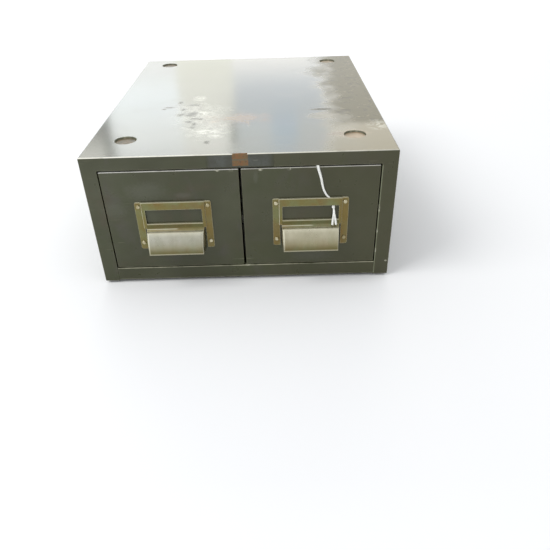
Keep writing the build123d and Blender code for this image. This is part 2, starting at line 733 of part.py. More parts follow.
def make_follower_plate(label, x):
    """Leaning plate with a back-turned top lip and a foot that is welded to the shoe."""
    height = PLATE_TOP - SHOE_TOP
    lean = height * PLATE_LEAN
    with BuildPart() as plate:
        with BuildSketch(sideways(x - PLATE_W / 2)):
            with BuildLine():
                Polyline(
                    (FOLLOWER_Y, SHOE_TOP),
                    (FOLLOWER_Y + PLATE_T, SHOE_TOP),
                    (FOLLOWER_Y + PLATE_T + lean, PLATE_TOP - PLATE_T),
                    (FOLLOWER_Y + PLATE_T + lean + 8, PLATE_TOP - PLATE_T),
                    (FOLLOWER_Y + PLATE_T + lean + 8, PLATE_TOP),
                    (FOLLOWER_Y + lean, PLATE_TOP),
                    close=True,
                )
            make_face()
        extrude(amount=PLATE_W)
        slab(
            around(x, TRACK_HEAD_W),
            (FOLLOWER_Y, FOLLOWER_Y + FOOT_FLANGE),
            (SHOE_TOP, SHOE_TOP + PLATE_T),
        )
    keep(plate, f"{label}_follower_plate")


def make_catch(label, x):
    """Rocking lever: its front end bears on the track, its rear end is the thumb tab."""
    cam = (PIVOT_Y - CAM_REACH, TRACK_TOP + SHOE_PLAY + CAM_R)
    thumb = (PIVOT_Y + THUMB_REACH, PIVOT_Z + THUMB_RISE)
    with BuildPart() as lever:
        with BuildSketch(sideways(x - LEVER_W / 2)):
            for end in (cam, thumb):
                SlotCenterPoint(
                    center=((PIVOT_Y + end[0]) / 2, (PIVOT_Z + end[1]) / 2),
                    point=end,
                    height=2 * CAM_R,
                )
            with Locations((PIVOT_Y, PIVOT_Z)):
                Circle(4.2)
                Circle(PIN_R + PIN_PLAY, mode=Mode.SUBTRACT)
        extrude(amount=LEVER_W)
        slab(
            around(x, 2.2 * LEVER_W),
            (thumb[0] - 3, thumb[0] + 7),
            (thumb[1], thumb[1] + CAM_R),
        )
        fillet(lever.edges().filter_by(Axis.Z).group_by(Axis.Y)[-1], 3.0)
    keep(lever, f"{label}_catch_lever")

    ear_out = LEVER_W / 2 + EAR_GAP + EAR_T
    with BuildPart() as pin:
        with BuildSketch(sideways(x - ear_out)):
            with Locations((PIVOT_Y, PIVOT_Z)):
                Circle(PIN_R)
        extrude(amount=2 * ear_out)
        for start in (x - ear_out - 1.0, x + ear_out):
            with BuildSketch(sideways(start)):
                with Locations((PIVOT_Y, PIVOT_Z)):
                    Circle(PIN_R + 1.0)
            extrude(amount=1.0)
    keep(pin, f"{label}_catch_pin")

    heel = PIVOT_Y + 24.0
    with BuildPart() as spring:
        with BuildSketch(sideways(x - 3)):
            with BuildLine():
                Polyline(
                    (PIVOT_Y + 9, SHOE_TOP),
                    (heel, SHOE_TOP),
                    (heel, SHOE_TOP + 1.6),
                    (PIVOT_Y + 13.2, SHOE_TOP + 9.2),
                    (PIVOT_Y + 12.8, SHOE_TOP + 8.7),
                    (heel - 1.8, SHOE_TOP + 0.6),
                    (PIVOT_Y + 9, SHOE_TOP + 0.6),
                    close=True,
                )
            make_face()
        extrude(amount=6)
    keep(spring, f"{label}_catch_spring")


for label, side in SIDES.items():
    drawer_x = side * DRAWER_X
    make_drawer_front(label, drawer_x)
    make_liner(label, drawer_x)
    make_tray(label, drawer_x)
    make_tray_back(label, drawer_x)
    make_strip(f"{label}_outer_strip", drawer_x, side)
    make_strip(f"{label}_inner_strip", drawer_x, -side)
    make_pull(label, drawer_x)
    make_pull_rivets(label, drawer_x)
    make_track(label, drawer_x)
    make_shoe(label, drawer_x)
    make_follower_plate(label, drawer_x)
    make_catch(label, drawer_x)

# ---- loose string through the right label holder ------------------------------------------------
STRING_D = 1.4
KNOT_R = 1.7
# (x, stand-off from the drawer's face, z): from inside the drawer, over its top, down its face and
# behind the holder's top bar
STRING_ROUTE = [
    (84.4, -17.7, 129.5),
    (84.9, -17.2, 136.0),
    (85.7, -17.6, 143.5),
    (86.6, -17.2, 150.2),
    (87.3, -14.4, 153.93),
    (88.6, -8.6, 154.0),
    (89.5, -3.6, 153.93),
    (89.9, 1.0, 154.0),
    (90.9, 1.1, 149.4),
    (92.8, 1.0, 143.6),
    (94.4, 1.1, 137.4),
    (95.4, 1.0, 131.5),
    (96.8, 1.1, 126.0),
    (98.7, 1.0, 121.4),
    (101.2, 1.05, 117.2),
    (104.8, 0.85, 113.9),
    (107.5, 0.8, 110.4),
    (109.0, 0.8, 106.4),
    (109.3, 0.92, 102.6),
]
KNOT_SPOT = (109.3, 1.95, 102.2)
TAIL_ROUTES = [
    [(109.3, 2.5, 101.4), (109.2, 3.4, 96.8), (108.7, 4.2, 91.0), (108.3, 4.7, 85.0), (108.5, 6.5, 78.4)],
    [(110.1, 2.7, 101.4), (110.9, 3.6, 96.6), (111.6, 4.2, 91.2), (112.2, 4.7, 85.8), (113.0, 6.4, 79.0)],
]


def bends(points):
    """Radius at each corner of a route: 0.45 of the shorter run over the tangent of half the turn."""
    radii = []
    for before, corner, after in zip(points, points[1:], points[2:]):
        run_in = Vector(*corner) - Vector(*before)
        run_out = Vector(*after) - Vector(*corner)
        half_turn = math.radians(run_in.get_angle(run_out)) / 2
        radii.append(0.45 * min(run_in.length, run_out.length) / math.tan(half_turn))
    return radii


def placed(route):
    """The route's points in the cabinet's own axes."""
    return [(x, out(p), z) for x, p, z in route]


with BuildPart() as tag_string:
    string_points = placed(STRING_ROUTE)
    string_radii = bends(string_points)
    with BuildLine() as string_line:
        FilletPolyline(*string_points, radius=string_radii)
    string_path = string_line.wire()
    with BuildSketch(Plane(string_path @ 0, z_dir=string_path % 0)):
        Circle(STRING_D / 2)
    sweep(path=string_path)
print("string radii", [round(radius, 1) for radius in string_radii])
print("string length", round(string_path.length, 1))
section_area = math.pi * STRING_D**2 / 4
print("string volume ratio", round(tag_string.part.volume / (section_area * string_path.length), 4))
keep(tag_string, "tag_string")

with BuildPart() as string_knot:
    with Locations((KNOT_SPOT[0], out(KNOT_SPOT[1]), KNOT_SPOT[2])):
        Sphere(KNOT_R)
    for route in TAIL_ROUTES:
        tail_points = placed(route)
        tail_radii = bends(tail_points)
        with BuildLine() as tail_line:
            FilletPolyline(*tail_points, radius=tail_radii)
        tail_path = tail_line.wire()
        with BuildSketch(Plane(tail_path @ 0, z_dir=tail_path % 0)):
            Circle(STRING_D / 2)
        sweep(path=tail_path)
        print("tail radii", [round(radius, 1) for radius in tail_radii])
keep(string_knot, "string_knot")
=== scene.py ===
import json
import math
import random

import bmesh
import bpy
from mathutils import Matrix, Quaternion, Vector


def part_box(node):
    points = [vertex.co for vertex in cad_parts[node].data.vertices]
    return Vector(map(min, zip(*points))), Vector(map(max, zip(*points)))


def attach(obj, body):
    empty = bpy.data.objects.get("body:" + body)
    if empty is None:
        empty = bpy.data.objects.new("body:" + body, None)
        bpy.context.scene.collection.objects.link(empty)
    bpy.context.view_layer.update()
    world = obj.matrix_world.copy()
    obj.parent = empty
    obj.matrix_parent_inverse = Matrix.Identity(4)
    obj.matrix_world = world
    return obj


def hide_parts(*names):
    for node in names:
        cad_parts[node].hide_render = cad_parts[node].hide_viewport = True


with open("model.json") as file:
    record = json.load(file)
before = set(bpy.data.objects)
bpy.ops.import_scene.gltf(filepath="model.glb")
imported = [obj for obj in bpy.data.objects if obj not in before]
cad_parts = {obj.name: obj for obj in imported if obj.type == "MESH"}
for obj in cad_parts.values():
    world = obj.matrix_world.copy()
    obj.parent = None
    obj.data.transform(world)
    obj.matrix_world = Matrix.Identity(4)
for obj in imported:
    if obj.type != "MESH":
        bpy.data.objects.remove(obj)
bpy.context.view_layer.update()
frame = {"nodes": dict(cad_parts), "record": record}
nodes = frame["nodes"]

MM = 0.001

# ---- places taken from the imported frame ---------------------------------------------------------
case_low, case_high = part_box("case_wrap")
front_low, front_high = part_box("right_drawer_front")
pull_low, pull_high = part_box("right_label_pull")
foil_low, foil_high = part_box("rail_foil")
CASE_FRONT = case_low[1]
CASE_BOTTOM = case_low[2]
CASE_TOP = case_high[2]
DRAWER_FACE = front_low[1]
DRAWER_TOP = front_high[2]
OPENING_TOP = DRAWER_TOP + 2.0 * MM
HOLDER_TOP = pull_high[2]
PULL_X = (pull_low[0] + pull_high[0]) / 2  # the left one is as far to the left


def link(obj):
    bpy.context.scene.collection.objects.link(obj)
    return obj


# ---- camera -------------------------------------------------------------------------------------
CAMERA_X = 38.75 * MM
CAMERA_AHEAD = 585.68 * MM  # in front of the case's front
CAMERA_ABOVE = 400.79 * MM  # above the case's lower edge
CAMERA_RIGHT = Vector((0.99961795, -0.01370994, -0.02399967))
CAMERA_FORWARD = Vector((-0.0021693, 0.82671373, -0.56261861))
SENSOR_WIDTH = 36.0  # mm, as the lens
LENS = 35.76


def make_camera():
    data = bpy.data.cameras.new("camera")
    data.sensor_width = SENSOR_WIDTH
    data.lens = LENS
    data.clip_start = 0.01
    camera = link(bpy.data.objects.new("camera", data))
    up = CAMERA_RIGHT.cross(CAMERA_FORWARD)
    turn = Matrix((CAMERA_RIGHT, up, -CAMERA_FORWARD)).transposed()
    place = Vector((CAMERA_X, CASE_FRONT - CAMERA_AHEAD, CASE_BOTTOM + CAMERA_ABOVE))
    camera.matrix_world = Matrix.Translation(place) @ turn.to_4x4()
    bpy.context.scene.camera = camera


make_camera()

# ---- the string tied to the right drawer's label holder -----------------------------------------
STRANDS = 3
STRAND_R = 0.85 * MM
STRAND_LIFT = 0.8 * MM  # strand's middle from the string's
STRAND_TURN = 9 * MM  # length of one full twist
STRING_STEP = 0.5 * MM
# strands are this much smaller behind the label holder, and grow by this up to the drawer's top
TIGHT, LOOSER = 0.72, 0.33
# (x, stand-off from the drawer's face, z) in millimetres
STRING_ROUTE = [
    (84.4, -17.7, 129.5),
    (84.9, -17.2, 136.0),
    (85.7, -17.6, 143.5),
    (86.6, -17.2, 150.2),
    (87.3, -14.4, 153.93),
    (88.6, -8.6, 154.0),
    (89.5, -3.6, 153.93),
    (89.9, 1.0, 154.0),
    (90.9, 1.1, 149.4),
    (92.8, 1.0, 143.6),
    (94.4, 1.1, 137.4),
    (95.4, 1.0, 131.5),
    (96.8, 1.1, 126.0),
    (98.7, 1.0, 121.4),
    (101.2, 1.05, 117.2),
    (104.8, 0.85, 113.9),
    (107.5, 0.8, 110.4),
    (109.0, 0.8, 106.4),
    (109.3, 0.92, 102.6),
]
SKIN = 0.05 * MM  # least distance between the string and sheet metal
BEHIND_BAR = 1.55 * MM  # furthest stand-off behind the label holder's top bar
ON_FACE = 3.0 * MM  # and above it, down the drawer's face
BAR_LEAD = 1.5 * MM  # the string is squeezed from this far below the holder's top edge

KNOT_SPOT = (109.3, 1.95, 102.2)
KNOT_LOOP_R = 1.15 * MM
KNOT_STRAND_R = 0.8 * MM
KNOT_WAVE = 0.25 * MM
KNOT_TURN = 1.85 * math.pi  # each loop stays open
KNOT_LOOPS = [(0.5, 0.0), (-0.6, 0.9), (0.1, -1.0)]  # turns about y and x, in radians
TAIL_ROUTES = [
    [
        (109.5, 2.5, 101.4),
        (109.8, 3.4, 96.8),
        (109.3, 4.2, 91.0),
        (108.6, 4.7, 85.0),
        (108.3, 6.5, 78.4),
    ],
    [
        (109.8, 2.7, 101.4),
        (110.3, 3.6, 96.6),
        (111.2, 4.2, 91.2),
        (112.0, 4.7, 85.8),
        (113.0, 6.4, 79.0),
    ],
]
TAIL_STEP = 0.7 * MM
TAIL_FIBRES = 11


def placed(x, stand_off, z):
    """A point of the string, in metres in the row's frame."""
    return Vector((x * MM, DRAWER_FACE - stand_off * MM, z * MM))


def smooth_line(name, route):
    """Points read from the smooth spline that has the route's points as its control points."""
    curve = bpy.data.curves.new(name, "CURVE")
    curve.dimensions = "3D"
    curve.resolution_u = 10
    spline = curve.splines.new("NURBS")
    spline.points.add(len(route) - 1)
    for point, place in zip(spline.points, route):
        point.co = (*placed(*place), 1)
    spline.order_u = 3
    spline.use_endpoint_u = True
    holder = link(bpy.data.objects.new(name, curve))
    mesh = bpy.data.meshes.new_from_object(holder)
    points = [v.co.copy() for v in mesh.vertices]
    bpy.data.meshes.remove(mesh)
    bpy.data.objects.remove(holder)
    bpy.data.curves.remove(curve)
    return points


def cross_axes(points):
    """Two directions across the line at each of its points, which turn as little as they can."""
    result = []
    across = Vector((1, 0, 0))
    for i in range(len(points)):
        along = (points[min(i + 1, len(points) - 1)] - points[max(i - 1, 0)]).normalized()
        across = (across - along * across.dot(along)).normalized()
        result.append((across, along.cross(across)))
    return result


def add_tube(mesh, points, radii, sides):
    """Adds a closed tube round the points to a bmesh."""
    rings = []
    for point, radius, (across, other) in zip(points, radii, cross_axes(points)):
        ring = []
        for k in range(sides):
            turn = 2 * math.pi * k / sides
            step = across * math.cos(turn) + other * math.sin(turn)
            ring.append(mesh.verts.new(point + step * radius))
        rings.append(ring)
    for a, b in zip(rings, rings[1:]):
        for k in range(sides):
            mesh.faces.new((a[k], a[(k + 1) % sides], b[(k + 1) % sides], b[k]))
    mesh.faces.new(reversed(rings[0]))
    mesh.faces.new(rings[-1])


def finish_mesh(name, mesh, material):
    """Turns a bmesh into a smooth object with one material."""
    data = bpy.data.meshes.new(name)
    bmesh.ops.recalc_face_normals(mesh, faces=mesh.faces)
    mesh.to_mesh(data)
    mesh.free()
    for face in data.polygons:
        face.use_smooth = True
    data.materials.append(material)
    return link(bpy.data.objects.new(name, data))


def along_line(points, step):
    """The line's points again, evenly spaced."""
    result = [points[0].copy()]
    left = step
    for a, b in zip(points, points[1:]):
        run = (b - a).length
        done = 0.0
        while run - done >= left:
            done += left
            result.append(a.lerp(b, done / run))
            left = step
        left -= run - done
    return result


def twisted(points, strand):
    """The line of one strand of the twisted string."""
    result = []
    gone = 0.0
    for i, (point, (across, other)) in enumerate(zip(points, cross_axes(points))):
        if i:
            gone += (point - points[i - 1]).length
        turn = 2 * math.pi * (gone / STRAND_TURN + strand / STRANDS)
        lift = across * math.cos(turn) + other * math.sin(turn)
        result.append(point + lift * STRAND_LIFT)
    return result


def press(mesh):
    """Squeezes the string behind the bar, against the drawer's face and under the opening."""
    for vert in mesh.verts:
        place = vert.co
        if place.y < DRAWER_FACE and place.z < DRAWER_TOP:
            highest = BEHIND_BAR if place.z < HOLDER_TOP - BAR_LEAD else ON_FACE
            middle = (SKIN + highest) / 2
            room = (highest - SKIN) / 2
            lean = (DRAWER_FACE - place.y - middle) / room
            place.y = DRAWER_FACE - (middle + room * math.tanh(lean))
        if place.y > DRAWER_FACE and place.z > DRAWER_TOP - 1 * MM:
            place.z = min(max(place.z, DRAWER_TOP + SKIN), OPENING_TOP - SKIN)


def make_string(material):
    path = smooth_line("tag_string_line", STRING_ROUTE)
    fine = along_line(path, STRING_STEP)
    mesh = bmesh.new()
    for strand in range(STRANDS):
        line = twisted(fine, strand)
        radii = []
        for i, point in enumerate(fine):
            height = min(max((point.z - HOLDER_TOP) / (DRAWER_TOP - HOLDER_TOP), 0), 1)
            size = TIGHT + LOOSER * height
            line[i] = point.lerp(line[i], size)
            radii.append(STRAND_R * size * (1 + 0.16 * math.sin(i * 0.37 + 2 * strand)))
        add_tube(mesh, line, radii, 8)
    press(mesh)
    string = finish_mesh("tag_string_twist", mesh, material)
    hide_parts("tag_string")
    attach(string, "right_drawer")
    return string, path


def add_knot(mesh):
    """An overhand knot, as three open loops through each other."""
    middle = placed(*KNOT_SPOT)
    steps = 40
    for tilt, lean in KNOT_LOOPS:
        spin = Quaternion((0, 1, 0), tilt) @ Quaternion((1, 0, 0), lean)
        loop = []
        for i in range(steps + 1):
            turn = KNOT_TURN * i / steps
            x, z = math.cos(turn) * KNOT_LOOP_R, math.sin(turn) * KNOT_LOOP_R
            loop.append(middle + spin @ Vector((x, KNOT_WAVE * math.sin(3 * turn), z)))
        add_tube(mesh, loop, [KNOT_STRAND_R] * len(loop), 10)


def add_tail(mesh, route, rng):
    """A tail that comes apart into fibres."""
    core = along_line(smooth_line("tail_line", route), TAIL_STEP)
    for fibre in range(TAIL_FIBRES):
        turn = 2 * math.pi * fibre / TAIL_FIBRES
        reach = rng.uniform(0.9, 1.0)
        drift = rng.uniform(-0.4, 0.4)
        wide = rng.uniform(0.75, 1.0)
        line = []
        radii = []
        for i, point in enumerate(core[: int(len(core) * reach)]):
            done = i / len(core)
            spread = wide * (0.3 + 1.0 * done**1.2) * MM
            sway = turn + 2.2 * done + drift
            flat = Vector((math.cos(sway) * spread, math.sin(sway) * spread * 0.55, 0))
            line.append(point + flat)
            radii.append((0.56 - 0.22 * done**3) * MM)
        add_tube(mesh, line, radii, 6)


def make_knot(material):
    """Overhand knot under the top bar, and two tails."""
    rng = random.Random(7)
    mesh = bmesh.new()
    add_knot(mesh)
    for route in TAIL_ROUTES:
        add_tail(mesh, route, rng)
    knot = finish_mesh("string_knot_and_tails", mesh, material)
    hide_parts("string_knot")
    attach(knot, "right_drawer")
    return knot


# ---- rubbed foil label on the top rail ----------------------------------------------------------
FOIL_LIFTS = (0.01 * MM, 0.12 * MM)  # its back and its face, out from the case
FOIL_STEP = 0.9 * MM  # across
FOIL_ROW = 0.6 * MM  # up
TORN_LEFT, TORN_RIGHT = 1.6, 2.2  # mm, how far each end is torn at most
BLOCK_X = (-7.6 * MM, 10.4 * MM)  # the printed block, which also goes over the bend
BLOCK_ON_TOP = 0.8 * MM
BLOCK_FOOT = 157.2 * MM  # the block's lower edge, and the line across it
BLOCK_LINE = 164.4 * MM
CASE_BEND = 1.2 * MM  # outside radius of the case's front bends
FOIL_FLAT = CASE_TOP - CASE_BEND - foil_low[2]  # from the foil's lower edge to the bend
BEND_ARC = CASE_BEND * math.pi / 2


def over_bend(length):
    """(y, z, lean) of the point that far up the case from the foil's lower edge."""
    if length < FOIL_FLAT:
        return CASE_FRONT, foil_low[2] + length, 0.0
    if length < FOIL_FLAT + BEND_ARC:
        turn = (length - FOIL_FLAT) / CASE_BEND
        y = CASE_FRONT + CASE_BEND * (1 - math.cos(turn))
        return y, CASE_TOP - CASE_BEND + CASE_BEND * math.sin(turn), turn
    return CASE_FRONT + CASE_BEND + length - FOIL_FLAT - BEND_ARC, CASE_TOP, math.pi / 2


def make_foil(material):
    """A thin sheet with torn ends, flat on the rail; its middle block goes over the bend."""
    rng = random.Random(11)
    columns = int((foil_high[0] - foil_low[0]) / FOIL_STEP)
    full = FOIL_FLAT + BEND_ARC + BLOCK_ON_TOP
    rows = int(full / FOIL_ROW)
    flat_rows = int(rows * FOIL_FLAT / full)
    ends = []
    for _ in range(rows + 1):
        ends.append((rng.uniform(0, TORN_LEFT) * MM, rng.uniform(0, TORN_RIGHT) * MM))
    mesh = bmesh.new()
    sheet = {}
    for side, lift in enumerate(FOIL_LIFTS):
        for row in range(rows + 1):
            y, z, turn = over_bend(full * row / rows)
            left, right = foil_low[0] + ends[row][0], foil_high[0] - ends[row][1]
            for column in range(columns + 1):
                x = left + (right - left) * column / columns
                place = Vector((x, y - math.cos(turn) * lift, z + math.sin(turn) * lift))
                sheet[side, row, column] = place
    kept = set()
    for row in range(rows):
        for column in range(columns):
            in_block = BLOCK_X[0] <= sheet[0, row, column].x <= BLOCK_X[1] - FOIL_STEP
            if row < flat_rows or in_block:
                kept.add((row, column))
    verts = {}

    def vert(side, corner):
        key = (side, *corner)
        if key not in verts:
            verts[key] = mesh.verts.new(sheet[key])
        return verts[key]

    for row, column in sorted(kept):
        corners = [(row, column), (row, column + 1), (row + 1, column + 1), (row + 1, column)]
        beside = [(row - 1, column), (row, column + 1), (row + 1, column), (row, column - 1)]
        mesh.faces.new([vert(1, corner) for corner in corners])
        mesh.faces.new([vert(0, corner) for corner in reversed(corners)])
        for edge in range(4):
            if beside[edge] not in kept:
                a, b = corners[edge], corners[(edge + 1) % 4]
                mesh.faces.new([vert(1, b), vert(1, a), vert(0, a), vert(0, b)])
    foil_piece = finish_mesh("rail_foil_sheet", mesh, material)
    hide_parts("rail_foil")
    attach(foil_piece, "case")


# ---- materials ----------------------------------------------------------------------------------
def linear(red, green, blue):
    """A colour given in 0-255 screen values, as the shader's own linear values."""
    values = []
    for part in (red, green, blue):
        part /= 255
        values.append(part / 12.92 if part <= 0.04045 else ((part + 0.055) / 1.055) ** 2.4)
    return (*values, 1.0)


class Paint:
    """A procedural material. Places and sizes inside it are in metres, in the row's frame."""

    def __init__(self, name, roughness, metallic=0.0):
        self.material = bpy.data.materials.new(name)
        self.material.use_nodes = True
        self.tree = self.material.node_tree
        self.shader = self.tree.nodes["Principled BSDF"]
        self.shader.inputs["Roughness"].default_value = roughness
        self.shader.inputs["Metallic"].default_value = metallic
        self.place = self.tree.nodes.new("ShaderNodeTexCoord").outputs["Object"]

    def put(self, socket, value):
        """Links a socket to the value, or sets it if the value is a plain number or colour."""
        if isinstance(value, bpy.types.NodeSocket):
            self.tree.links.new(value, socket)
        else:
            socket.default_value = value

    def math(self, operation, *values):
        node = self.tree.nodes.new("ShaderNodeMath")
        node.operation = operation
        for socket, value in zip(node.inputs, values):
            self.put(socket, value)
        return node.outputs[0]

    def vector(self, operation, *values):
        node = self.tree.nodes.new("ShaderNodeVectorMath")
        node.operation = operation
        for socket, value in zip(node.inputs, values):
            self.put(socket, value)
        return node.outputs["Value" if operation in ("LENGTH", "DOT_PRODUCT") else "Vector"]

    def stretched(self, factors, turn=0.0):
        """The place, scaled by the factors after a turn about each axis alike."""
        node = self.tree.nodes.new("ShaderNodeMapping")
        node.inputs["Scale"].default_value = factors
        node.inputs["Rotation"].default_value = (turn, turn, turn)
        self.put(node.inputs["Vector"], self.place)
        return node.outputs[0]

    def noise(self, size, detail=4.0, roughness=0.55, distortion=0.0, at=None):
        """Soft noise from 0 to 1 whose features are about size metres across."""
        node = self.tree.nodes.new("ShaderNodeTexNoise")
        self.put(node.inputs["Vector"], at or self.place)
        node.inputs["Scale"].default_value = 1 / size
        node.inputs["Detail"].default_value = detail
        node.inputs["Roughness"].default_value = roughness
        node.inputs["Distortion"].default_value = distortion
        return node.outputs["Fac"]

    def ramp(self, value, low, high, out_low=0.0, out_high=1.0):
        """value's range low to high, turned smoothly into out_low to out_high."""
        node = self.tree.nodes.new("ShaderNodeMapRange")
        node.interpolation_type = "SMOOTHSTEP"
        for socket, number in zip(list(node.inputs)[1:5], (low, high, out_low, out_high)):
            socket.default_value = number
        self.put(node.inputs["Value"], value)
        return node.outputs["Result"]

    def patchy(self, size, low, high, out_low=0.0, out_high=1.0, **kind):
        """Soft noise of the given kind, with its range low to high turned into the other."""
        return self.ramp(self.noise(size, **kind), low, high, out_low, out_high)

    def between(self, value, low, high, soft=0.3 * MM):
        """1 where the value lies from low to high, falling to 0 across twice soft."""
        return self.times(
            self.ramp(value, low - soft, low + soft), self.ramp(value, high + soft, high - soft)
        )

    def mix(self, amount, first, second):
        """Between two colours."""
        node = self.tree.nodes.new("ShaderNodeMix")
        node.data_type = "RGBA"
        self.put(node.inputs["Factor"], amount)
        self.put(node.inputs[6], first)
        self.put(node.inputs[7], second)
        return node.outputs[2]

    def layered(self, color, *layers):
        """The colour with layers over it. Each layer is (where, how strong, its colour)."""
        for where, strength, tint in layers:
            color = self.mix(self.math("MULTIPLY", where, strength), color, tint)
        return color

    def blend(self, amount, first, second):
        """Between two numbers."""
        node = self.tree.nodes.new("ShaderNodeMix")
        self.put(node.inputs["Factor"], amount)
        self.put(node.inputs[2], first)
        self.put(node.inputs[3], second)
        return node.outputs[0]

    def times(self, *values):
        result = values[0]
        for value in values[1:]:
            result = self.math("MULTIPLY", result, value)
        return result

    def most(self, *values):
        result = values[0]
        for value in values[1:]:
            result = self.math("MAXIMUM", result, value)
        return result

    def part(self, axis):
        """One coordinate of the place: "X", "Y" or "Z"."""
        node = self.tree.nodes.new("ShaderNodeSeparateXYZ")
        self.put(node.inputs[0], self.place)
        return node.outputs[axis]

    def normal(self):
        """The surface's normal in the piece's own frame, so that it moves with the piece."""
        turn = self.tree.nodes.new("ShaderNodeVectorTransform")
        turn.vector_type = "NORMAL"
        turn.convert_from = "WORLD"
        turn.convert_to = "OBJECT"
        self.put(turn.inputs[0], self.tree.nodes.new("ShaderNodeNewGeometry").outputs["Normal"])
        return turn.outputs[0]

    def facing(self, x, y, z):
        """How squarely the surface faces a direction, from -1 to 1."""
        return self.vector("DOT_PRODUCT", self.normal(), (x, y, z))

    def edges(self, width, low=0.02, high=0.25):
        """1 on the object's bent and cut edges, 0 on its flat faces."""
        bevel = self.tree.nodes.new("ShaderNodeBevel")
        bevel.samples = 4
        bevel.inputs["Radius"].default_value = width
        geometry = self.tree.nodes.new("ShaderNodeNewGeometry")
        same = self.vector("DOT_PRODUCT", bevel.outputs[0], geometry.outputs["Normal"])
        return self.ramp(self.math("SUBTRACT", 1.0, same), low, high)

    def bends(self, low, high):
        """1 where the surface faces between the axes, as on a folded edge, 0 on flat faces."""
        split = self.tree.nodes.new("ShaderNodeSeparateXYZ")
        self.put(split.inputs[0], self.vector("ABSOLUTE", self.normal()))
        return self.ramp(self.math("SUBTRACT", 1.0, self.most(*split.outputs)), low, high)

    def spot(self, middle, size, ragged, rag, soft):
        """1 inside an ellipsoid, 0 outside, with a rim made ragged by the noise given."""
        gap = self.vector("SUBTRACT", self.place, middle)
        far = self.vector("LENGTH", self.vector("DIVIDE", gap, size))
        rough = self.math("MULTIPLY", self.math("SUBTRACT", ragged, 0.5), 2 * rag)
        return self.ramp(self.math("ADD", far, rough), 1.0 + soft, 1.0 - soft)

    def color(self, value):
        self.put(self.shader.inputs["Base Color"], value)

    def roughness(self, value):
        self.put(self.shader.inputs["Roughness"], value)

    def bump(self, height, depth):
        """Adds relief: depth is in metres for a height of 1."""
        node = self.tree.nodes.new("ShaderNodeBump")
        node.inputs["Strength"].default_value = 1.0
        node.inputs["Distance"].default_value = depth
        self.put(node.inputs["Height"], height)
        normal = self.shader.inputs["Normal"]
        if normal.is_linked:
            self.put(node.inputs["Normal"], normal.links[0].from_socket)
        self.put(normal, node.outputs[0])


# the enamel's own tones
OLIVE = linear(55, 57, 31)
OLIVE_PALE = linear(69, 71, 49)
OLIVE_BROWN = linear(70, 61, 42)
OLIVE_GREEN = linear(56, 62, 28)
OLIVE_VIOLET = linear(72, 68, 62)
# painted shade, yellower and darker, mixed in towards the right
OLIVE_RIGHT_SHADE = linear(56, 54, 20)
# dust and stains on it
SMUDGE = linear(112, 112, 104)
DUST = linear(124, 114, 82)
DUST_FILM = linear(140, 130, 98)
DUST_PALE = linear(206, 192, 158)
VEIN_DARK = linear(66, 62, 44)
VEIN_PALE = linear(190, 178, 146)
SMEAR = linear(192, 130, 80)
OVAL = linear(184, 172, 150)
BROWN_MARK = linear(190, 158, 132)
FLECK = linear(74, 70, 58)
PALE_CHIP = linear(236, 236, 222)
RUST = linear(112, 74, 40)
DIMPLE_RUST = linear(126, 100, 68)
DIMPLE_DUST = linear(172, 146, 114)
# what shows where it is rubbed or chipped, painted highlights along bends, and painted light in the
# card slot's gap
PRIMER = linear(168, 166, 142)
TOP_BEND_HIGHLIGHT = linear(246, 243, 230)
DRAWER_EDGE_HIGHLIGHT = linear(236, 234, 228)
STILE_BEND_HIGHLIGHT = linear(150, 156, 128)
SLOT_PAINTED_LIGHT = linear(170, 168, 146)
CHIP = linear(184, 182, 162)
BARE_STEEL = linear(150, 146, 132)

# marks on the top: (x, y, half length across, half length along) in millimetres
PALE_HAZE = [(-56, -74, 30, 34), (-38, -140, 28, 26)]
FLECKS = [
    (-104, -43, 6, 3),
    (-110, -50, 3, 2),
    (-83, -76, 6, 5),
    (-73, -79, 6, 4),
    (-67, -74, 8, 9),
    (-64, -94, 5, 3),
    (-56, -96, 4, 3),
    (-69, -106, 5, 4),
    (-61, -116, 3, 7),
    (-62, -129, 4, 4),
    (-67, -34, 10, 4),
    (-39, -182, 3, 5),
    (-90, -21, 3, 6),
    (-82, -54, 4, 4),
]
WHITE_SPOTS = [(-54, -73, 8, 9), (-65, -3, 9, 12), (-43, -145, 14, 8), (-30, -162, 9, 6)]
ORANGE_SMEAR = (-2, -96, 30, 17)
PALE_OVAL = (104, -95, 19, 13)
OVAL_RIM = (108, -68, 17, 4)
SCUFFS = (171, -136, 12, 17)
BROWN_PATCH = (138, -166, 21, 13)
TOP_MARK_DEPTH = 12 * MM
DUSTY_FROM = 124 * MM  # the right-hand side of the top is dusty beyond this x
SCRATCHED_FROM = -128 * MM  # and scratched and stained behind this y
# marks on the front: (x, z, half width, half height) in millimetres
EDGE_CHIPS = [(164.7, 98, 1.3, 5), (164.6, 67, 0.9, 3), (164.6, 39, 1.0, 3), (179, 23, 1.6, 1.2)]
TOP_CHIPS = [
    (-10, 151.8, 2.4, 1.4),
    (24, 151.6, 2.6, 1.6),
    (57, 151.6, 2, 1.8),
    (3, 22, 3, 1),
    (-26, 152, 2.6, 1.4),
]
SMUDGES = [
    (-152, 105, 13, 9),
    (-68, 122, 9, 3),
    (18, 142, 2.5, 7),
    (84, 36, 22, 9),
    (-110, 128, 20, 10),
]
FRONT_MARK_DEPTH = 8 * MM


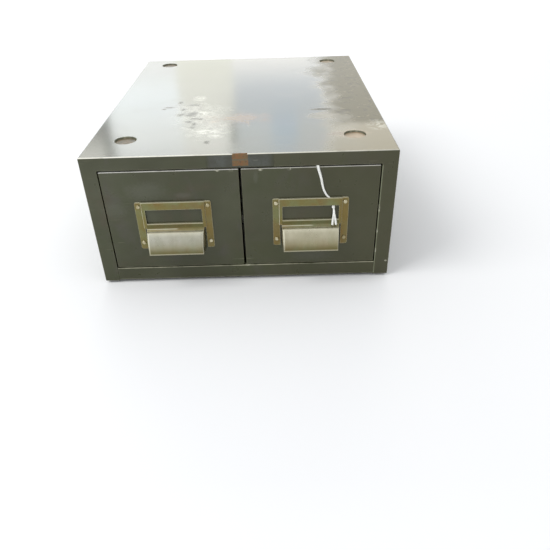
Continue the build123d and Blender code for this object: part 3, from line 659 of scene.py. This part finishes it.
class CaseEnamel(Paint):
    """Glossy olive stove enamel, rubbed along its bends, dusty and marked on top, with painted
    highlights along bends, painted light in the card slot's gap and painted shade towards the right.
    """

    def __init__(self):
        super().__init__("case_enamel", roughness=0.3)
        self.x, self.y, self.z = (self.part(axis) for axis in "XYZ")
        self.ragged = self.noise(9 * MM, 6.0, 0.68)
        self.fine_rag = self.noise(3 * MM, 6.0, 0.7)
        self.wide_rag = self.noise(26 * MM, 7.0, 0.66, 0.4)
        # the top and the dimples in it, and no other face that looks up
        near_top = self.ramp(self.z, CASE_TOP - 8 * MM, CASE_TOP - 6 * MM)
        self.up = self.times(self.ramp(self.facing(0, 0, 1), 0.75, 0.95), near_top)
        self.color(self.dimples(self.rubbed_and_highlit_lines(self.top_marks(self.dust(self.tones())))))
        self.shine_and_relief()

    def on_top(self, mark, rag, soft, noise=None):
        x, y, across, along = mark
        size = (across * MM, along * MM, TOP_MARK_DEPTH)
        return self.spot((x * MM, y * MM, CASE_TOP), size, noise or self.ragged, rag, soft)

    def any_on_top(self, marks, rag, soft, noise=None):
        return self.most(*[self.on_top(mark, rag, soft, noise) for mark in marks])

    def on_front(self, mark, rag, soft):
        x, z, across, up = mark
        size = (across * MM, FRONT_MARK_DEPTH, up * MM)
        return self.spot((x * MM, DRAWER_FACE, z * MM), size, self.fine_rag, rag, soft)

    def tones(self):
        """Close tones, in patches of a few centimetres, with painted shade that makes the right side
        yellower and a little darker, away from the key light on the left.
        """
        color = self.mix(self.patchy(0.1, 0.35, 0.68, detail=3.0), OLIVE, OLIVE_PALE)
        brown = self.patchy(0.045, 0.5, 0.72, detail=5.0, roughness=0.6, distortion=0.6)
        low = self.stretched((1.0, 1.0, 1.4))
        green = self.patchy(0.06, 0.5, 0.7, roughness=0.6, distortion=0.4, at=low)
        tall = self.stretched((1.2, 1.0, 0.8))
        violet = self.patchy(0.055, 0.54, 0.7, roughness=0.6, distortion=0.5, at=tall)
        # painted shade: yellower and a little darker towards the right, away from the key light
        shaded_right = self.ramp(self.x, -0.08, 0.2)
        return self.layered(
            color,
            (brown, 0.6, OLIVE_BROWN),
            (green, 0.6, OLIVE_GREEN),
            (violet, 0.5, OLIVE_VIOLET),
            (shaded_right, 0.62, OLIVE_RIGHT_SHADE),
            *[(self.on_front(mark, 0.9, 0.6), 0.16, SMUDGE) for mark in SMUDGES],
        )

    def dust(self, color):
        """A dull film on the top, thick on the right and veined at the back there."""
        thin = self.patchy(0.06, 0.5, 0.75, detail=6.0, roughness=0.6, distortion=0.8)
        self.film = self.times(thin, self.up, 0.14)
        uneven = self.math("SUBTRACT", self.noise(0.05, 3.0, 0.55), 0.5)
        reach = self.math("ADD", self.x, self.math("MULTIPLY", uneven, 90 * MM))
        thick = self.ramp(reach, DUSTY_FROM - 30 * MM, DUSTY_FROM + 22 * MM)
        self.dusty = self.times(thick, self.up)
        behind = self.ramp(self.y, SCRATCHED_FROM - 14 * MM, SCRATCHED_FROM + 14 * MM)
        self.pale = self.times(self.dusty, self.math("SUBTRACT", 1.0, behind))
        to_right = self.ramp(reach, DUSTY_FROM - 34 * MM, DUSTY_FROM - 6 * MM)
        veined = self.times(to_right, self.up, behind)
        stain = self.patchy(15 * MM, 0.54, 0.64, detail=3.0, distortion=1.6)
        self.dark_vein = self.times(veined, stain)
        ridge = self.math("SUBTRACT", self.noise(15 * MM, 2.0, 0.5, 1.2), 0.5)
        ridge = self.ramp(self.math("ABSOLUTE", ridge), 0.022, 0.008)
        broken = self.patchy(12 * MM, 0.5, 0.58, detail=5.0, roughness=0.65)
        self.pale_vein = self.times(veined, ridge, broken)
        return self.layered(
            color,
            (self.film, 0.4, DUST_FILM),
            (self.dusty, 0.36, DUST),
            (self.dark_vein, 0.6, VEIN_DARK),
            (self.pale_vein, 0.24, VEIN_PALE),
            (self.pale, 0.16, DUST_PALE),
        )

    def top_marks(self, color):
        """Coloured marks, and pale haze with white spots where the enamel has lifted."""
        self.smear = self.on_top(ORANGE_SMEAR, 1.9, 0.6, self.wide_rag)
        self.oval = self.on_top(PALE_OVAL, 0.7, 0.4, self.wide_rag)
        self.rim = self.times(self.on_top(OVAL_RIM, 0.5, 0.4), self.up)
        self.brown = self.times(self.on_top(BROWN_PATCH, 1.4, 0.5, self.wide_rag), self.up)
        lifted = self.any_on_top(PALE_HAZE, 2.0, 0.7, self.wide_rag)
        haze = self.times(lifted, self.up, self.ramp(self.ragged, 0.42, 0.55))
        white = self.any_on_top(WHITE_SPOTS, 0.7, 0.4)
        white = self.times(white, self.up, self.ramp(self.ragged, 0.35, 0.6))
        scuffs = self.patchy(9 * MM, 0.42, 0.56, roughness=0.6, distortion=0.8)
        scuffs = self.times(self.on_top(SCUFFS, 0.6, 0.5), scuffs, self.up)
        # dark flecks, which go over the other marks later
        self.flecks = self.times(self.any_on_top(FLECKS, 0.9, 0.7), self.up, 0.6)
        return self.layered(
            color,
            (self.smear, 0.22, SMEAR),
            (self.oval, 0.2, OVAL),
            (self.rim, 0.7, FLECK),
            (self.brown, 0.22, BROWN_MARK),
            (haze, 0.16, PALE_CHIP),
            (white, 0.3, PALE_CHIP),
            (scuffs, 0.3, PALE_CHIP),
        )

    def rubbed_and_highlit_lines(self, color):
        """Rubbed bends and corners, with painted highlights along the bends, painted light in the
        card slot's gap, chips and scratches.
        """
        # bends lightened with the primer colour: rubbed paint, and painted highlights where the
        # bends catch the light, weaker on bends that face sideways
        sideways = self.math("ABSOLUTE", self.facing(1, 0, 0))
        bend = self.times(self.bends(0.03, 0.14), self.ramp(sideways, 0.2, 0.45, 1.0, 0.25))
        worn = self.patchy(16 * MM, 0.3, 0.6, 0.25, 0.9, detail=6.0, roughness=0.7)
        broken = self.patchy(9 * MM, 0.42, 0.62, detail=5.0, roughness=0.7)
        cut = self.times(self.edges(1.3 * MM, 0.01, 0.12), broken)
        self.edge = self.most(self.times(bend, worn), self.times(cut, 0.3))
        # pale line along the front of the top: rubbed paint and a painted highlight on the bend,
        # fading to the right away from the key light
        front_bend = self.times(
            self.ramp(self.z, CASE_TOP - 1.2 * MM, CASE_TOP - 0.7 * MM),
            self.ramp(self.y, CASE_FRONT + 1.5 * MM, CASE_FRONT + 1.0 * MM),
            self.ramp(self.x, -0.1, 0.19, 0.9, 0.45),
            self.patchy(0.02, 0.3, 0.5, 0.6, 1.0, detail=3.0),
        )
        # and along the drawers' top edges: a painted highlight with some rubbing, brighter on the
        # left drawer where the light falls
        drawer_top = self.times(
            self.ramp(self.facing(0, 0, 1), 0.25, 0.5),
            self.ramp(self.z, DRAWER_TOP - 0.9 * MM, DRAWER_TOP - 0.5 * MM),
            self.ramp(self.z, DRAWER_TOP + 1.0 * MM, DRAWER_TOP + 0.5 * MM),
            self.ramp(self.y, DRAWER_FACE + 3.4 * MM, DRAWER_FACE + 2.4 * MM),
            self.ramp(self.x, -0.02, 0.02, 0.95, 0.6),
            self.patchy(0.02, 0.3, 0.5, 0.7, 1.0, detail=3.0),
        )
        # the right stile's inner bend: rubbed, and a painted highlight where it faces the light
        stile_bend = self.times(
            self.ramp(self.x, 163.9 * MM, 164.2 * MM),
            self.ramp(self.x, 165.5 * MM, 165.0 * MM),
            self.ramp(self.y, CASE_FRONT + 1.8 * MM, CASE_FRONT + 1.2 * MM),
            self.ramp(self.z, CASE_TOP - 18 * MM, CASE_TOP - 19 * MM),
            self.patchy(0.02, 0.3, 0.5, 0.6, 1.0, detail=3.0),
        )
        # painted light on the drawer's face in the gap behind the label holder's top bar, lightening
        # the shade in that gap where cards slide in
        across = self.math("SUBTRACT", self.math("ABSOLUTE", self.x), PULL_X)
        slot_gap_light = self.times(
            self.ramp(self.z, 111 * MM, 113 * MM),
            self.ramp(self.z, 115 * MM, 114.4 * MM),
            self.ramp(self.y, DRAWER_FACE + 0.5 * MM, DRAWER_FACE + 0.3 * MM),
            self.ramp(self.math("ABSOLUTE", across), 38 * MM, 37 * MM),
        )
        chipped = self.most(*[self.on_front(mark, 0.9, 0.3) for mark in EDGE_CHIPS + TOP_CHIPS])
        self.chips = self.times(chipped, self.ramp(self.fine_rag, 0.42, 0.55))
        # scratches, mostly across
        long = self.stretched((0.03, 1.0, 1.0), 0.2)
        scratch = self.patchy(1.3 * MM, 0.70, 0.76, detail=2.0, roughness=0.5, at=long)
        scratch = self.times(scratch, self.patchy(0.06, 0.52, 0.6, detail=2.0))
        return self.layered(
            color,
            (self.edge, 1.0, PRIMER),
            (front_bend, 1.0, TOP_BEND_HIGHLIGHT),
            (drawer_top, 1.0, DRAWER_EDGE_HIGHLIGHT),
            (stile_bend, 0.4, STILE_BEND_HIGHLIGHT),
            (slot_gap_light, 0.75, SLOT_PAINTED_LIGHT),
            (self.chips, 0.9, CHIP),
            (self.flecks, 0.8, FLECK),
            (scratch, 0.3, PRIMER),
        )

    def dimples(self, color):
        """Rust in the dimples on the left, dust in those on the right."""
        deep = self.ramp(self.z, CASE_TOP - 0.5 * MM, CASE_TOP - 1.6 * MM)
        self.sunk = self.times(deep, self.up)
        tint = self.mix(self.ramp(self.x, -0.02, 0.02), DIMPLE_RUST, DIMPLE_DUST)
        return self.layered(
            color, (self.sunk, self.ramp(self.ragged, 0.35, 0.6, 0.15, 0.6), tint)
        )

    def shine_and_relief(self):
        """The top is glossiest; dust, stains and rubbed enamel are dull."""
        gloss = self.patchy(0.02, 0.3, 0.7, 0.27, 0.36)
        gloss = self.blend(self.up, gloss, 0.135)
        dull = self.most(
            self.film,
            self.dusty,
            self.times(self.brown, 0.6),
            self.times(self.smear, 0.3),
            self.times(self.oval, 0.5),
            self.sunk,
            self.rim,
        )
        gloss = self.blend(self.times(dull, self.blend(self.pale, 0.85, 0.6)), gloss, 0.52)
        gloss = self.blend(self.most(self.edge, self.chips, self.flecks), gloss, 0.5)
        self.roughness(gloss)
        self.bump(self.noise(3 * MM, 3.0), 0.02 * MM)
        self.bump(self.math("SUBTRACT", self.pale_vein, self.dark_vein), 0.06 * MM)
        pits = self.math("SUBTRACT", 0.0, self.most(self.chips, self.flecks))
        self.bump(pits, 0.1 * MM)


def plain_enamel(name, dark, pale):
    """The same enamel inside the cabinet, where it stays fresher."""
    paint = Paint(name, roughness=0.4)
    color = paint.mix(paint.patchy(0.07, 0.35, 0.68), dark, pale)
    dust = paint.patchy(0.012, 0.5, 0.8, detail=6.0, roughness=0.65)
    broken = paint.patchy(0.008, 0.42, 0.6, detail=5.0, roughness=0.7)
    edge = paint.times(paint.edges(0.9 * MM), broken)
    paint.color(paint.layered(color, (dust, 0.3, linear(120, 116, 98)), (edge, 0.7, BARE_STEEL)))
    paint.roughness(paint.patchy(0.02, 0.3, 0.7, 0.32, 0.52))
    paint.bump(paint.noise(0.003, 3.0), 0.04 * MM)
    return paint.material


BRASS_WARM = linear(122, 113, 68)
BRASS_GREEN = linear(120, 122, 84)
BRASS_BROWN = linear(124, 98, 60)
BRASS_BROWN_LEG = linear(120, 92, 48)
# painted shade low on the cup
BRASS_LOW_CUP_SHADE = linear(92, 88, 60)
# painted shade on the bar under the window
BRASS_LOW_BAR_SHADE = linear(72, 74, 46)
BRASS_SPOTS = linear(80, 70, 44)
# rubbed brass with painted reflection, on the cup's upper face
BRASS_RUBBED_LIT_LEFT = linear(196, 194, 178)
BRASS_RUBBED_LIT_RIGHT = linear(200, 194, 168)
# painted highlight, with rubbing, on edges and folds
BRASS_RUBBED_HIGHLIGHT = linear(232, 228, 204)


def brass():
    """Brass pressing: browned and greenish where it is untouched, rubbed silvery on the cup, with
    painted reflection on the cup's upper face, painted highlights along folds and edges, and painted
    shade low on the cup and under the window.
    """
    paint = Paint("tarnished_brass", roughness=0.4, metallic=0.8)
    x, y, z = (paint.part(axis) for axis in "XYZ")
    # distance to the right of the label holder's middle, and from the drawer's face
    side = paint.math("MULTIPLY", paint.math("SIGN", x), -PULL_X)
    across = paint.math("ADD", x, side)
    either_way = paint.math("ABSOLUTE", across)
    stand_off = paint.math("SUBTRACT", DRAWER_FACE, y)
    color = paint.mix(paint.patchy(0.022, 0.35, 0.65), BRASS_WARM, BRASS_GREEN)
    brown = paint.patchy(0.03, 0.46, 0.62, roughness=0.6, distortion=0.5)
    right_leg = paint.ramp(across, 31 * MM, 38 * MM)
    # the cup stands out from the drawer and is rubbed by fingers; its upper face is painted lighter
    # in vertical streaks, a painted reflection of the bright sky with some rubbing, and its lower
    # part darker as painted shade
    proud = paint.ramp(stand_off, 3.2 * MM, 8 * MM)
    high = paint.ramp(z, 51 * MM, 72 * MM)
    # painted shade on the lower part of the cup
    low = paint.times(proud, paint.ramp(z, 64 * MM, 52 * MM))
    # painted reflection, with rubbing, on the cup's upper face, in vertical streaks
    tall = paint.stretched((1.0, 1.0, 0.15))
    highlight_streak = paint.patchy(0.02, 0.35, 0.6, 0.75, 1.0, roughness=0.6, at=tall)
    rubbed = paint.times(proud, high, highlight_streak)
    worn_and_lit_cup = paint.mix(paint.ramp(x, -0.02, 0.02), BRASS_RUBBED_LIT_LEFT, BRASS_RUBBED_LIT_RIGHT)
    # painted shade: the forward-facing strip of the holder below the window painted darker
    bar = paint.times(
        paint.between(z, 80.5 * MM, 84.6 * MM, 0.6 * MM),
        paint.ramp(either_way, 35 * MM, 34 * MM),
    )
    color = paint.layered(
        color,
        (brown, 0.45, BRASS_BROWN),
        (right_leg, 0.4, BRASS_BROWN_LEG),
        (low, 0.45, BRASS_LOW_CUP_SHADE),
        (rubbed, 1.0, worn_and_lit_cup),
        (bar, 0.5, BRASS_LOW_BAR_SHADE),
    )
    # bright lines where edges and folds are rubbed, also painted highlights where they catch the
    # light; the left-hand jogs and cup ends, which face the key light, get the most
    fold = paint.times(
        paint.between(stand_off, 6.8 * MM, 9.4 * MM), paint.ramp(z, 75 * MM, 75.6 * MM), 0.8
    )
    on_cup = paint.ramp(stand_off, 9 * MM, 10 * MM)
    cup_ends = paint.times(on_cup, paint.bends(0.12, 0.24))
    left_end = paint.times(
        on_cup,
        paint.ramp(across, -31 * MM, -32.5 * MM),
        paint.ramp(z, 50 * MM, 66 * MM, 0.4, 1.0),
    )
    lower_lip = paint.times(
        paint.ramp(stand_off, 12 * MM, 13 * MM), paint.ramp(z, 52.2 * MM, 51.6 * MM)
    )
    holder_top = paint.ramp(z, 113.5 * MM, 113.9 * MM)
    sill = paint.times(
        paint.between(z, 85 * MM, 86.3 * MM), paint.ramp(either_way, 34 * MM, 33.6 * MM)
    )
    jog = paint.times(
        paint.ramp(stand_off, 4 * MM, 3 * MM),
        paint.bends(0.06, 0.16),
        paint.ramp(across, 0, 5 * MM, 1.0, 0.15),
    )
    rubbed_and_highlit = paint.most(
        fold,
        paint.times(paint.most(cup_ends, left_end), 0.7),
        paint.times(lower_lip, 0.4),
        paint.times(holder_top, 0.5),
        paint.times(sill, 0.5),
        jog,
        paint.times(paint.edges(0.8 * MM, 0.01, 0.15), 0.5),
    )
    spots = paint.patchy(0.0024, 0.62, 0.74, detail=5.0, roughness=0.7)
    off_cup = paint.ramp(proud, 0.0, 0.4, 0.3, 0.0)
    color = paint.layered(color, (rubbed_and_highlit, 0.85, BRASS_RUBBED_HIGHLIGHT), (spots, off_cup, BRASS_SPOTS))
    paint.color(color)
    paint.put(paint.shader.inputs["Metallic"], paint.ramp(rubbed_and_highlit, 0.0, 1.0, 0.8, 0.3))
    paint.roughness(paint.patchy(0.006, 0.3, 0.75, 0.26, 0.46, detail=5.0, roughness=0.65))
    paint.bump(paint.noise(0.004), 0.04 * MM)
    return paint.material


def metal(name, dark, pale, roughness, rust=0.0):
    """Bare or plated metal with fine rubbing marks and, if wanted, some rust."""
    paint = Paint(name, roughness=roughness, metallic=0.9)
    color = paint.mix(paint.patchy(0.014, 0.35, 0.65, detail=5.0), dark, pale)
    stain = paint.patchy(0.02, 0.58, 0.72, detail=6.0, roughness=0.7, distortion=0.4)
    paint.color(paint.layered(color, (stain, rust, RUST)))
    marks = paint.noise(0.0012, 3.0, at=paint.stretched((1.0, 0.05, 1.0)))
    paint.roughness(paint.ramp(marks, 0.3, 0.7, roughness - 0.1, roughness + 0.15))
    paint.bump(marks, 0.02 * MM)
    return paint.material


def rubber():
    paint = Paint("rubber_black", roughness=0.75)
    worn = paint.patchy(0.006, 0.35, 0.7, detail=5.0)
    paint.color(paint.mix(worn, linear(34, 33, 31), linear(62, 59, 54)))
    paint.roughness(paint.patchy(0.003, 0.3, 0.7, 0.65, 0.85))
    paint.bump(paint.noise(0.0015), 0.08 * MM)
    return paint.material


FOIL_DARK = linear(66, 67, 58)
FOIL_PALE = linear(76, 79, 72)
FOIL_SCRATCH = linear(120, 120, 110)
BLOCK_ORANGE = linear(123, 84, 46)
BLOCK_OCHRE = linear(110, 86, 49)
BLOCK_LINE_COLOR = linear(100, 90, 66)


def foil():
    """Rubbed printed foil, greyish, with plain orange bands and no lettering."""
    paint = Paint("label_foil", roughness=0.45)
    x = paint.part("X")
    z = paint.part("Z")
    color = paint.mix(paint.patchy(0.012, 0.35, 0.7, roughness=0.6), FOIL_DARK, FOIL_PALE)
    ends = paint.most(
        paint.ramp(x, foil_low[0] + 6 * MM, foil_low[0]),
        paint.ramp(x, foil_high[0] - 8 * MM, foil_high[0]),
        paint.ramp(z, foil_low[2] + 1.5 * MM, foil_low[2]),
    )
    worn = paint.patchy(0.004, 0.54, 0.64, detail=6.0, roughness=0.7)
    worn = paint.most(paint.times(worn, 0.5), paint.times(ends, 0.8))
    long = paint.stretched((0.2, 1.0, 1.0))
    scratch = paint.patchy(0.003, 0.66, 0.72, detail=3.0, roughness=0.6, at=long)
    block = paint.times(
        paint.ramp(x, BLOCK_X[0] - 0.5 * MM, BLOCK_X[0] + 0.4 * MM),
        paint.ramp(x, BLOCK_X[1] + 0.5 * MM, BLOCK_X[1] - 0.4 * MM),
        paint.ramp(z, BLOCK_FOOT - 0.5 * MM, BLOCK_FOOT + 0.3 * MM),
    )
    from_line = paint.math("ABSOLUTE", paint.math("SUBTRACT", z, BLOCK_LINE))
    tone = paint.mix(paint.patchy(0.005, 0.4, 0.6), BLOCK_ORANGE, BLOCK_OCHRE)
    tone = paint.mix(paint.ramp(from_line, 1.2 * MM, 0.7 * MM), tone, BLOCK_LINE_COLOR)
    left_on = paint.patchy(0.003, 0.32, 0.46, detail=6.0, roughness=0.7)
    paint.color(
        paint.layered(
            color, (worn, 1.0, OLIVE), (scratch, 0.5, FOIL_SCRATCH), (block, left_on, tone)
        )
    )
    paint.roughness(paint.patchy(0.004, 0.3, 0.7, 0.4, 0.6))
    paint.bump(paint.noise(0.0016), 0.04 * MM)
    return paint.material


def cotton():
    paint = Paint("white_cotton", roughness=0.9)
    shade = paint.patchy(0.002, 0.35, 0.7, detail=5.0)
    paint.color(paint.mix(shade, linear(250, 250, 246), linear(228, 228, 220)))
    paint.shader.inputs["Sheen Weight"].default_value = 0.3
    paint.bump(paint.noise(0.0004, 3.0), 0.06 * MM)
    return paint.material


# ---- finish each slot ---------------------------------------------------------------------------
FINISHES = {
    "case_enamel": CaseEnamel().material,
    "inner_enamel": plain_enamel("inner_enamel_paint", OLIVE, OLIVE_PALE),
    "follower_enamel": plain_enamel(
        "follower_enamel_paint", linear(58, 62, 52), linear(72, 76, 64)
    ),
    "brass": brass(),
    "rivet_brass": metal(
        "rivet_brass_metal", linear(150, 138, 100), linear(206, 200, 172), 0.24
    ),
    "runner_steel": metal(
        "runner_steel_metal", linear(104, 100, 92), linear(150, 147, 138), 0.4, 0.5
    ),
    "plated_steel": metal(
        "plated_steel_metal", linear(150, 150, 146), linear(188, 188, 182), 0.32, 0.12
    ),
    "rubber": rubber(),
    "foil": foil(),
}


def paint_nodes():
    for row in frame["record"]["subparts"]:
        if row["material_slot"] in FINISHES:
            for place in nodes[row["node"]].material_slots:
                place.material = FINISHES[row["material_slot"]]


paint_nodes()
make_foil(FINISHES["foil"])
COTTON = cotton()
string, string_path = make_string(COTTON)
knot = make_knot(COTTON)

# ---- floor and lights ---------------------------------------------------------------------------
FLOOR_HALF = 8.0
PANEL_Y = CASE_FRONT + 3.0
# Soft boxes behind the cabinet, which its glossy top reflects:
# (name, x range, z range, radiance, colour)
PANELS = [
    ("back_far_left", (-1.9, -1.04), (0.2, 1.0), 2.25, (0.95, 1.0, 1.03)),
    ("back_corner", (-1.9, -1.1), (1.26, 1.9), 2.9, (1.0, 0.99, 0.92)),
    ("back_left_low", (-1.04, -0.56), (0.2, 0.86), 1.8, (1.0, 1.0, 0.96)),
    ("back_left", (-1.04, -0.56), (0.86, 1.1), 3.0, (0.93, 1.0, 1.02)),
    ("back_left_high", (-1.04, -0.56), (1.1, 1.9), 3.4, (0.97, 1.0, 0.99)),
    ("cream_low", (-0.56, -0.2), (0.2, 0.86), 1.75, (1.0, 1.0, 0.86)),
    ("cream_middle", (-0.56, -0.2), (0.86, 1.12), 2.2, (1.0, 1.0, 0.9)),
    ("cream_high", (-0.56, -0.24), (1.12, 1.9), 3.3, (1.0, 1.0, 0.94)),
    ("back_low", (-0.2, 1.4), (0.2, 0.84), 2.1, (1.0, 0.98, 0.93)),
    ("back_middle", (-0.2, 0.42), (0.84, 1.12), 1.5, (0.87, 0.96, 1.06)),
    ("back_high_left", (-0.2, 0.04), (1.12, 1.34), 2.15, (0.92, 0.99, 1.03)),
    ("back_blue", (0.04, 0.21), (1.12, 1.34), 1.95, (0.76, 0.96, 1.18)),
    ("back_high_right", (0.21, 0.42), (1.12, 1.34), 2.0, (0.95, 0.99, 0.99)),
    ("back_top", (-0.24, 0.42), (1.34, 1.9), 2.35, (0.97, 1.0, 0.99)),
    ("back_right", (0.42, 1.4), (0.84, 1.12), 2.0, (1.0, 0.96, 0.84)),
    ("front_right", (0.42, 1.4), (1.12, 1.9), 2.6, (1.0, 0.93, 0.78)),
]
KEY_PLACE = (-1.7, -0.9, 2.1)
KEY_TARGET = (0, 0, 0.1)
KEY_SIZE = (1.5, 1.5)
KEY_RADIANCE = 4.8
WHITE = (1, 1, 1)
WORLD_COLOR = (0.95, 0.97, 1.0, 1)
WORLD_STRENGTH = 0.77


def make_floor():
    mesh = bpy.data.meshes.new("floor")
    corners = [(x * FLOOR_HALF, y * FLOOR_HALF, 0) for x, y in ((-1, -1), (1, -1), (1, 1), (-1, 1))]
    mesh.from_pydata(corners, [], [(0, 1, 2, 3)])
    floor = link(bpy.data.objects.new("floor", mesh))
    material = bpy.data.materials.new("floor_paint")
    material.use_nodes = True
    shader = material.node_tree.nodes["Principled BSDF"]
    shader.inputs["Base Color"].default_value = (0.95, 0.95, 0.95, 1)
    shader.inputs["Roughness"].default_value = 0.9
    shader.inputs["Specular IOR Level"].default_value = 0.1
    mesh.materials.append(material)


def area_light(name, place, target, size, radiance, color):
    """A soft box that glows with the given radiance and isn't seen by the camera."""
    data = bpy.data.lights.new(name, "AREA")
    data.shape = "RECTANGLE"
    data.size, data.size_y = size
    data.energy = radiance * math.pi * size[0] * size[1]
    data.color = color
    light = link(bpy.data.objects.new(name, data))
    light.location = place
    light.rotation_euler = (Vector(target) - Vector(place)).to_track_quat("-Z", "Y").to_euler()
    light.visible_camera = False


def make_world():
    world = bpy.data.worlds.new("studio")
    world.use_nodes = True
    background = world.node_tree.nodes["Background"]
    background.inputs["Color"].default_value = WORLD_COLOR
    background.inputs["Strength"].default_value = WORLD_STRENGTH
    bpy.context.scene.world = world


make_floor()
make_world()
for name, (left, right), (low, high), radiance, tint in PANELS:
    x, z = (left + right) / 2, (low + high) / 2
    area_light(name, (x, PANEL_Y, z), (x, 0, z), (right - left, high - low), radiance, tint)
area_light("key_left", KEY_PLACE, KEY_TARGET, KEY_SIZE, KEY_RADIANCE, WHITE)
bpy.context.scene.view_settings.view_transform = "Standard"
